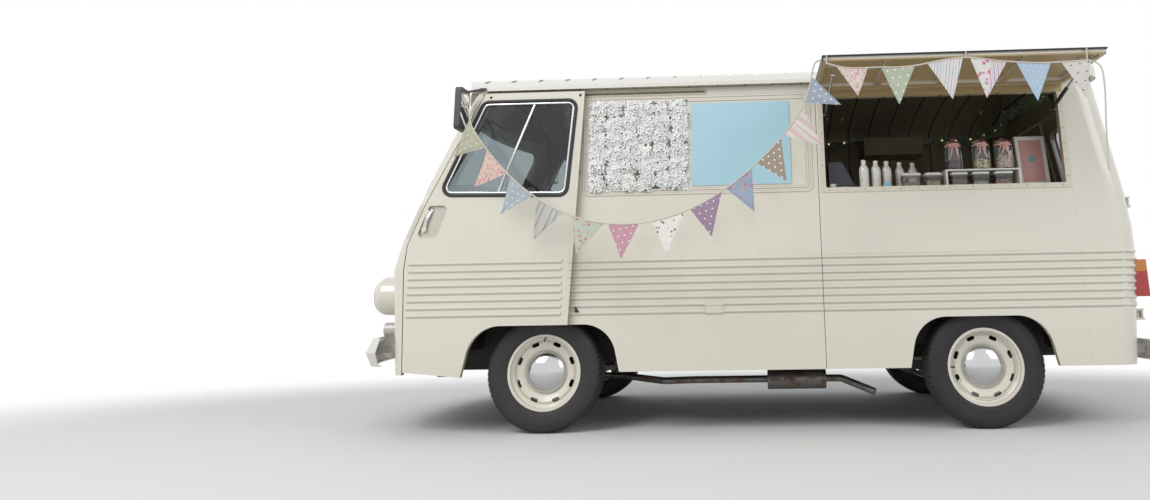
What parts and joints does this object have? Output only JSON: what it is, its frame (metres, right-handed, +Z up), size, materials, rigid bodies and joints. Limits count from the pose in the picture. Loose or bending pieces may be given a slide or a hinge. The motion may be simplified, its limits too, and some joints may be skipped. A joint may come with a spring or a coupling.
{
  "type": "ice cream truck",
  "caption": "Forward-control ice cream truck with a ribbed body, sliding cab doors, rear doors and an open top-hinged serving hatch dressed with bunting.",
  "frame": {"origin": "on the ground, under the middle of the truck's outline with the hatch lid open", "axes": "+X towards the tail, +Y towards the truck's right side, +Z up; the serving side faces -Y"},
  "size_m": [4.74, 2.8327, 2.2],
  "materials": {
    "cream_paint": "gloss cream body paint",
    "cream_roof": "gloss cream paint on the ribbed roof",
    "lid_paint": "cream painted sheet with a tan inner face and a black rubber edge",
    "trim_cream": "cream painted trim with screws",
    "bumper_white": "gloss white",
    "chassis_dark": "satin black underbody paint",
    "cast_dark": "rough cast, oily",
    "exhaust_steel": "heat stained steel",
    "grille_metal": "polished slats",
    "wheel_cream": "gloss cream rims with a chrome cap",
    "tyre_black": "black rubber",
    "clear_glass": "clear",
    "lamp_pod": "cream pods with clear lenses",
    "lamp_plastic": "red and clear lenses",
    "mirror_black": "black head on thin stays, mirrored face",
    "rubber_black": "matt black",
    "dash_brown": "grained",
    "seat_vinyl": "brown vinyl",
    "cover_felt": "black moulded cover",
    "panel_wood": "painted boards",
    "counter_wood": "cream laminate",
    "display_white": "white paint",
    "ware_white": "white and clear plastic",
    "flower_white": "white artificial blooms over green leaves",
    "sign_blue": "plain pale blue, blank",
    "rail_steel": "zinc plated",
    "strut_black": "black",
    "rod_chrome": "polished",
    "tape_cotton": "woven tape",
    "flag_cotton": "printed cotton in many patterns"
  },
  "bodies": {
    "van": {"bulkhead": "panel_wood", "cab_frame": "cream_paint", "cabinets": "panel_wood", "counter": "counter_wood", "dashboard": "dash_brown", "display": "display_white", "door_rails": "rail_steel", "engine": "cast_dark", "engine_cover": "cover_felt", "exhaust": "exhaust_steel", "flower_panel": "flower_white", "front_bumper": "bumper_white", "front_panel": "cream_paint", "front_suspension": "chassis_dark", "fuel_tank": "chassis_dark", "grille": "grille_metal", "hatch_trim": "trim_cream", "headlamps": "lamp_pod", "mirrors": "mirror_black", "rear_axle": "chassis_dark", "rear_bumper": "bumper_white", "roof": "cream_roof", "seats": "seat_vinyl", "serving_ware": "ware_white", "side_flags": "flag_cotton", "side_string": "tape_cotton", "side_wall_left": "cream_paint", "side_wall_right": "cream_paint", "sign_panel": "sign_blue", "signal_lamps": "lamp_plastic", "tail_frame": "cream_paint", "underframe": "chassis_dark", "windscreen": "clear_glass", "wipers": "rubber_black"},
    "cab_door_left": {"cab_door_left": "cream_paint", "cab_door_glass_left": "clear_glass"},
    "cab_door_right": {"cab_door_right": "cream_paint", "cab_door_glass_right": "clear_glass"},
    "rear_door_left": {"rear_door_left": "cream_paint", "rear_door_glass_left": "clear_glass"},
    "rear_door_right": {"rear_door_right": "cream_paint", "rear_door_glass_right": "clear_glass"},
    "hatch_lid": {"hatch_lid": "lid_paint"},
    "lid_bunting": {"lid_string": "tape_cotton", "lid_flags": "flag_cotton"},
    "steering_wheel": {"steering_wheel": "dash_brown"},
    "knuckle_left": {"knuckle_left": "cast_dark"},
    "knuckle_right": {"knuckle_right": "cast_dark"},
    "strut_cylinder_front": {"strut_cylinder_front": "strut_black"},
    "strut_rod_front": {"strut_rod_front": "rod_chrome"},
    "strut_cylinder_back": {"strut_cylinder_back": "strut_black"},
    "strut_rod_back": {"strut_rod_back": "rod_chrome"},
    "road_wheel_front_left": {"wheel_front_left": "wheel_cream", "tyre_front_left": "tyre_black"},
    "road_wheel_front_right": {"wheel_front_right": "wheel_cream", "tyre_front_right": "tyre_black"},
    "road_wheel_rear_left": {"wheel_rear_left": "wheel_cream", "tyre_rear_left": "tyre_black"},
    "road_wheel_rear_right": {"wheel_rear_right": "wheel_cream", "tyre_rear_right": "tyre_black"}
  },
  "joints": [
    {"name": "steer", "type": "hinge", "parent": "van", "child": "knuckle_left", "pos_m": [-1.15, -0.5585, 0.33], "axis": [0, 0, 1], "range_deg": [-30, 30]},
    {"name": "steer_right", "type": "hinge", "parent": "van", "child": "knuckle_right", "pos_m": [-1.15, 0.9415, 0.33], "axis": [0, 0, 1], "range_deg": [-30, 30]},
    {"name": "steering_wheel_turn", "type": "hinge", "parent": "van", "child": "steering_wheel", "pos_m": [-1.76499, -0.3985, 1.24338], "axis": [0.5524, 0, 0.8336], "range_deg": [-456, 456]},
    {"name": "front_left_spin", "type": "hinge", "parent": "knuckle_left", "child": "road_wheel_front_left", "pos_m": [-1.15, -0.6235, 0.33], "axis": [0, 1, 0], "continuous": true},
    {"name": "front_right_spin", "type": "hinge", "parent": "knuckle_right", "child": "road_wheel_front_right", "pos_m": [-1.15, 1.0065, 0.33], "axis": [0, 1, 0], "continuous": true},
    {"name": "rear_left_spin", "type": "hinge", "parent": "van", "child": "road_wheel_rear_left", "pos_m": [1.35, -0.6235, 0.33], "axis": [0, 1, 0], "continuous": true},
    {"name": "rear_right_spin", "type": "hinge", "parent": "van", "child": "road_wheel_rear_right", "pos_m": [1.35, 1.0065, 0.33], "axis": [0, 1, 0], "continuous": true},
    {"name": "cab_door_left_slide", "type": "slide", "parent": "van", "child": "cab_door_left", "axis": [1, 0, 0], "range_m": [0, 0.765]},
    {"name": "cab_door_right_slide", "type": "slide", "parent": "van", "child": "cab_door_right", "axis": [-1, 0, 0], "range_m": [-0.765, 0]},
    {"name": "rear_door_left_swing", "type": "hinge", "parent": "van", "child": "rear_door_left", "pos_m": [2.282, -0.6055, 1.2], "axis": [0, 0, -1], "range_deg": [0, 105]},
    {"name": "rear_door_right_swing", "type": "hinge", "parent": "van", "child": "rear_door_right", "pos_m": [2.282, 0.9885, 1.2], "axis": [0, 0, 1], "range_deg": [0, 105]},
    {"name": "hatch_lid_swing", "type": "hinge", "parent": "van", "child": "hatch_lid", "pos_m": [1.189, -0.7815, 1.938], "axis": [1, 0, 0], "range_deg": [0, 90]},
    {"name": "strut_front_swing", "type": "hinge", "parent": "van", "child": "strut_cylinder_front", "pos_m": [0.524, -0.7435, 1.787], "axis": [1, 0, 0], "range_deg": [-0.5, 103.6]},
    {"name": "strut_front_slide", "type": "slide", "parent": "strut_cylinder_front", "child": "strut_rod_front", "axis": [0, 0.9668, -0.2554], "range_m": [-0.001, 0.2056]},
    {"name": "strut_back_swing", "type": "hinge", "parent": "van", "child": "strut_cylinder_back", "pos_m": [1.854, -0.7435, 1.787], "axis": [1, 0, 0], "range_deg": [-0.5, 103.6]},
    {"name": "strut_back_slide", "type": "slide", "parent": "strut_cylinder_back", "child": "strut_rod_back", "axis": [0, 0.9668, -0.2554], "range_m": [-0.001, 0.2056]},
    {"name": "bunting_hang", "type": "hinge", "parent": "hatch_lid", "child": "lid_bunting", "pos_m": [1.189, -1.3925, 1.955], "axis": [1, 0, 0], "range_deg": [-90.5, 0.5]}
  ],
  "couplings": [
    {"joint": "steer_right", "follows": "steer", "ratio": 1},
    {"joint": "steering_wheel_turn", "follows": "steer", "ratio": 15},
    {"joint": "strut_front_swing", "follows": "hatch_lid_swing", "ratio": 1.1455},
    {"joint": "strut_front_slide", "follows": "hatch_lid_swing", "m_per_rad": 0.13025},
    {"joint": "strut_back_swing", "follows": "hatch_lid_swing", "ratio": 1.1455},
    {"joint": "strut_back_slide", "follows": "hatch_lid_swing", "m_per_rad": 0.13025},
    {"joint": "bunting_hang", "follows": "hatch_lid_swing", "ratio": -1}
  ]
}
